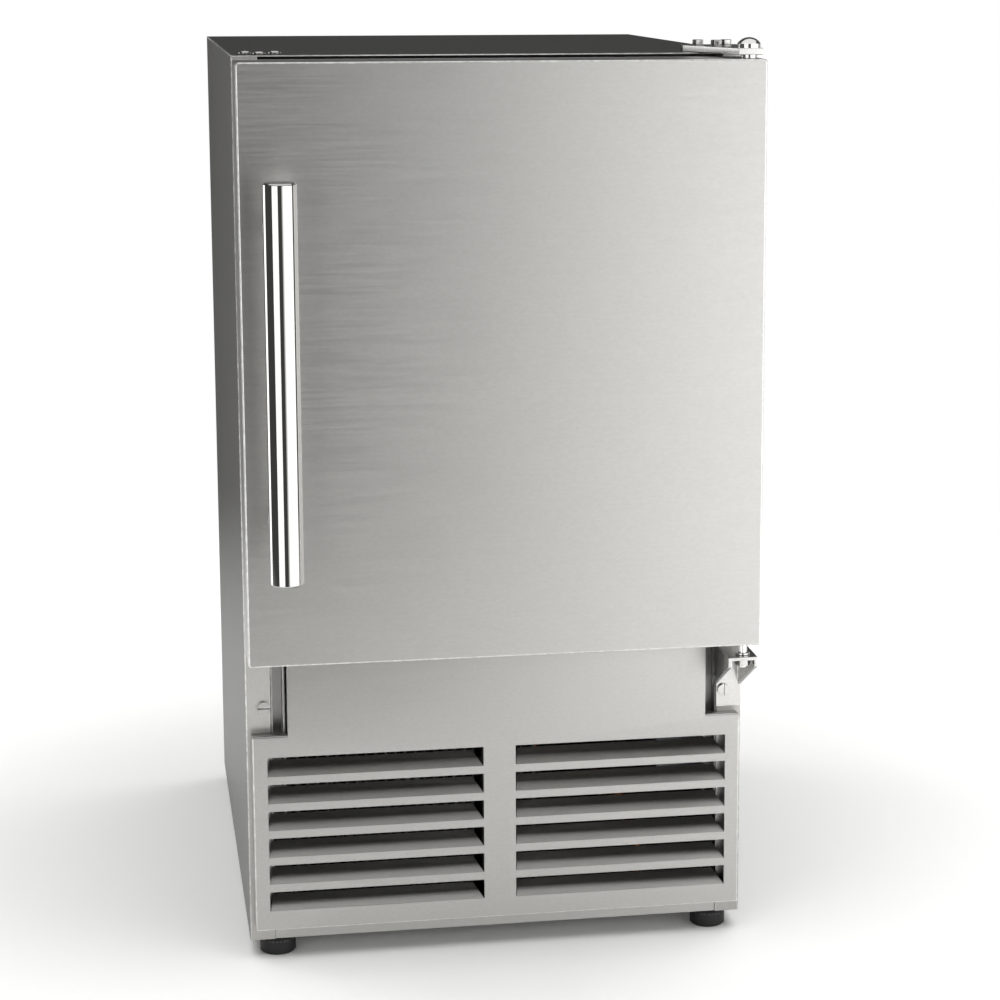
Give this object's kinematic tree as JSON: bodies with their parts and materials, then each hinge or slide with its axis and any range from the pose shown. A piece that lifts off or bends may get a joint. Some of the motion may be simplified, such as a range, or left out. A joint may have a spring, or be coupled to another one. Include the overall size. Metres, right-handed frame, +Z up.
{
  "type": "ice maker",
  "caption": "Narrow undercounter ice maker: stainless cabinet and hinged door with bar handle, louvred base grille, crescent ice module, bucket and refrigeration bay.",
  "frame": {"origin": "on the floor, at the centre of the footprint's bounding box", "axes": "+Z up, -Y out of the front, +X to the right as seen from the front"},
  "size_m": [0.354, 0.565, 0.6455],
  "materials": {
    "stainless_side": "brushed, fine vertical grain",
    "stainless_top": "brushed",
    "rear_sheet": "galvanised, spangled",
    "foam": null,
    "white_liner": "gloss",
    "breaker": "satin",
    "stainless_rail": "brushed",
    "base_steel": "galvanised",
    "stainless_channel": "brushed",
    "stainless_grille": "brushed, fine horizontal grain",
    "screw_steel": "polished",
    "foot_black": "matte black moulding",
    "stainless_door": "brushed, fine horizontal grain",
    "gasket_rubber": "matte",
    "handle_steel": "polished",
    "bush_plastic": "satin",
    "hinge_steel": "bright",
    "pin_steel": "polished",
    "cast_aluminium": "cast, dull grey coating",
    "bracket_zinc": "zinc plated",
    "module_plastic": "satin",
    "ejector_plastic": "satin",
    "wire_zinc": "plated wire",
    "coil_aluminium": "satin fins",
    "fan_grey": "satin",
    "motor_steel": "satin",
    "knob_black": "satin",
    "rocker_black": "gloss",
    "bucket_plastic": "translucent white",
    "compressor_black": "gloss black enamel",
    "mount_rubber": "matte",
    "condenser_black": "matte black",
    "shroud_plastic": "matte",
    "fan_aluminium": "satin",
    "copper": null,
    "valve_plastic": "satin",
    "hose_clear": "translucent",
    "hose_grey": "satin",
    "box_steel": "galvanised",
    "gland_black": "satin"
  },
  "bodies": {
    "cabinet": {"left_side_panel": "stainless_side", "right_side_panel": "stainless_side", "top_panel": "stainless_top", "rear_panel": "rear_sheet", "rear_access_cover": "rear_sheet", "cabinet_insulation": "foam", "inner_liner": "white_liner", "breaker_frame": "breaker", "mullion_rail": "stainless_rail", "base_pan": "base_steel", "grille_channels": "stainless_channel", "grille": "stainless_grille", "flange_screws": "screw_steel", "cover_screws": "screw_steel", "top_hinge_plate": "hinge_steel", "top_hinge_pin": "pin_steel", "top_hinge_screws": "screw_steel", "hinge_plug_screws": "screw_steel", "bottom_hinge_bracket": "hinge_steel", "bottom_hinge_pin": "pin_steel", "hinge_nut": "screw_steel", "ice_mould": "cast_aluminium", "module_bracket": "bracket_zinc", "module_housing": "module_plastic", "ice_stripper": "module_plastic", "fill_cup": "module_plastic", "evaporator_coil": "coil_aluminium", "evaporator_cover": "white_liner", "evaporator_fan_motor": "motor_steel", "control_box": "white_liner", "compressor": "compressor_black", "compressor_mounts": "mount_rubber", "condenser_coil": "condenser_black", "fan_shroud": "shroud_plastic", "condenser_fan_motor": "motor_steel", "filter_drier": "copper", "refrigerant_tubes": "copper", "water_valve": "valve_plastic", "water_tube": "hose_clear", "drain_tube": "hose_grey", "electrical_box": "box_steel", "cord_gland": "gland_black"},
    "door": {"door_skin": "stainless_door", "door_insulation": "foam", "door_liner": "white_liner", "door_gasket": "gasket_rubber", "handle_bar": "handle_steel", "handle_posts": "handle_steel", "hinge_bushes": "bush_plastic"},
    "foot_front_left": {"foot_front_left": "foot_black"},
    "foot_front_right": {"foot_front_right": "foot_black"},
    "foot_rear_left": {"foot_rear_left": "foot_black"},
    "foot_rear_right": {"foot_rear_right": "foot_black"},
    "ejector": {"ejector": "ejector_plastic"},
    "bail_arm": {"bail_arm": "wire_zinc"},
    "evaporator_fan": {"evaporator_fan": "fan_grey"},
    "condenser_fan": {"condenser_fan": "fan_aluminium"},
    "thermostat_knob": {"thermostat_knob": "knob_black"},
    "power_rocker": {"power_rocker": "rocker_black"},
    "ice_bucket": {"ice_bucket": "bucket_plastic"}
  },
  "joints": [
    {"name": "door_hinge", "type": "hinge", "parent": "cabinet", "child": "door", "pos_m": [0.168, -0.2045, 0.427], "axis": [0, 0, 1], "range_deg": [0, 120]},
    {"name": "bucket_slide", "type": "slide", "parent": "cabinet", "child": "ice_bucket", "axis": [0, -1, 0], "range_m": [0, 0.03]},
    {"name": "bail_arm_lift", "type": "hinge", "parent": "cabinet", "child": "bail_arm", "pos_m": [-0.051, 0.0375, 0.51], "axis": [0, -1, 0], "range_deg": [0, 40]},
    {"name": "ejector_spin", "type": "hinge", "parent": "cabinet", "child": "ejector", "pos_m": [-0.095, 0.0375, 0.53], "axis": [0, 1, 0], "continuous": true},
    {"name": "evaporator_fan_spin", "type": "hinge", "parent": "cabinet", "child": "evaporator_fan", "pos_m": [0.09, 0.1975, 0.52], "axis": [0, 1, 0], "continuous": true},
    {"name": "condenser_fan_spin", "type": "hinge", "parent": "cabinet", "child": "condenser_fan", "pos_m": [-0.055, -0.0875, 0.108], "axis": [0, 1, 0], "continuous": true},
    {"name": "thermostat_turn", "type": "hinge", "parent": "cabinet", "child": "thermostat_knob", "pos_m": [0.11, -0.1355, 0.587], "axis": [0, 1, 0], "range_deg": [0, 270]},
    {"name": "power_rocker_tilt", "type": "hinge", "parent": "cabinet", "child": "power_rocker", "pos_m": [0.065, -0.1285, 0.587], "axis": [1, 0, 0], "range_deg": [0, 24]},
    {"name": "foot_front_left_screw", "type": "slide", "parent": "cabinet", "child": "foot_front_left", "axis": [0, 0, -1], "range_m": [0, 0.019]},
    {"name": "foot_front_right_screw", "type": "slide", "parent": "cabinet", "child": "foot_front_right", "axis": [0, 0, -1], "range_m": [0, 0.019]},
    {"name": "foot_rear_left_screw", "type": "slide", "parent": "cabinet", "child": "foot_rear_left", "axis": [0, 0, -1], "range_m": [0, 0.019]},
    {"name": "foot_rear_right_screw", "type": "slide", "parent": "cabinet", "child": "foot_rear_right", "axis": [0, 0, -1], "range_m": [0, 0.019]}
  ]
}
